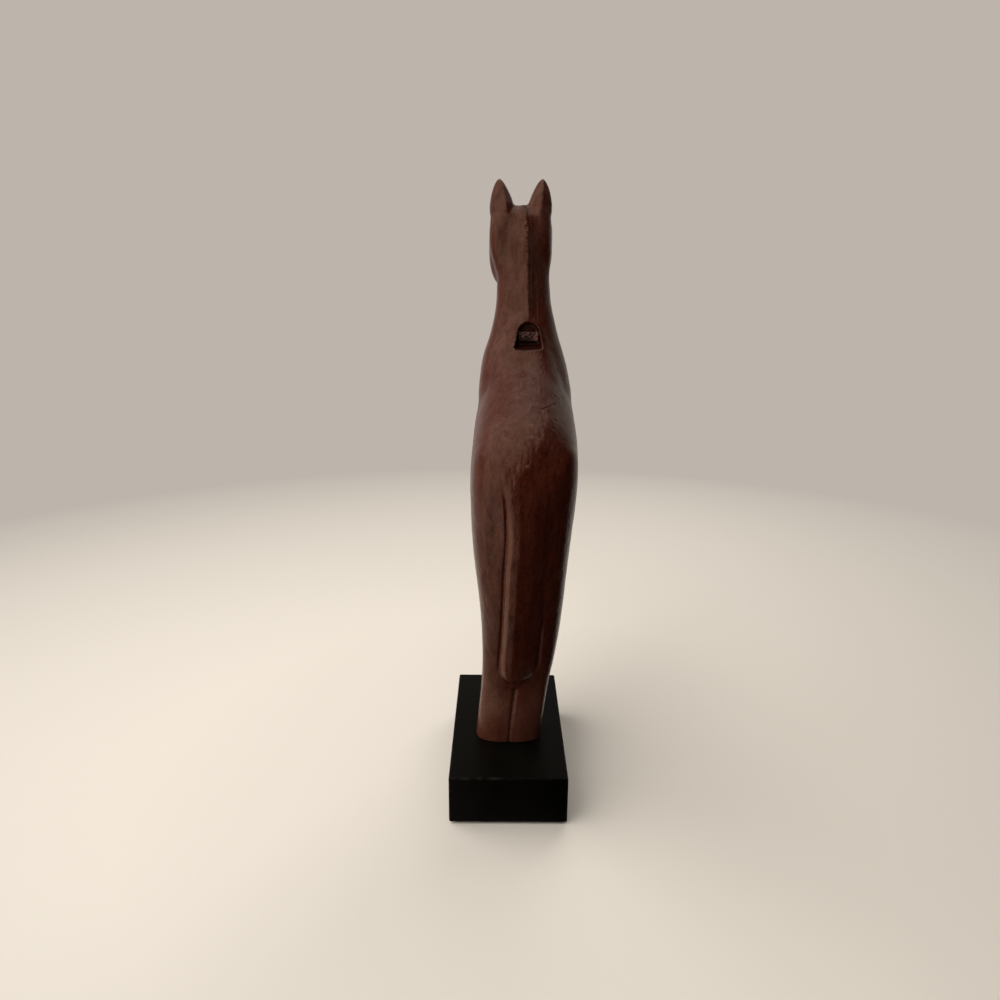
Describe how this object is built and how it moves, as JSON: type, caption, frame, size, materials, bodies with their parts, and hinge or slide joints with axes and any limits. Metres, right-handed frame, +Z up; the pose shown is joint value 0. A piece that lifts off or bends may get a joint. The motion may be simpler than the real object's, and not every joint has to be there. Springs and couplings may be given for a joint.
{
  "type": "wooden horse sculpture",
  "caption": "Tall carved wooden horse standing on a black rectangular block, with pricked ears, a ridged mane and a tail in relief.",
  "frame": {"origin": "middle of the felt's underside, where the block rests on the table", "axes": "+Z up, +Y the way the horse faces, +X to the horse's right"},
  "size_m": [0.0954, 0.2109, 0.47],
  "materials": {
    "stained_wood": "satin lacquer over red-brown stain",
    "rough_wood": "rough, stained",
    "black_paint": "satin black paint",
    "zinc_steel": "zinc plated",
    "black_felt": "matt felt"
  },
  "bodies": {
    "root": {"horse_carving": "stained_wood", "tenon_stub": "rough_wood", "base_block": "black_paint", "felt_sheet": "black_felt", "hind_left_screw": "zinc_steel", "hind_right_screw": "zinc_steel", "fore_left_screw": "zinc_steel", "fore_right_screw": "zinc_steel", "hind_left_washer": "zinc_steel", "hind_right_washer": "zinc_steel", "fore_left_washer": "zinc_steel", "fore_right_washer": "zinc_steel"}
  },
  "joints": []
}
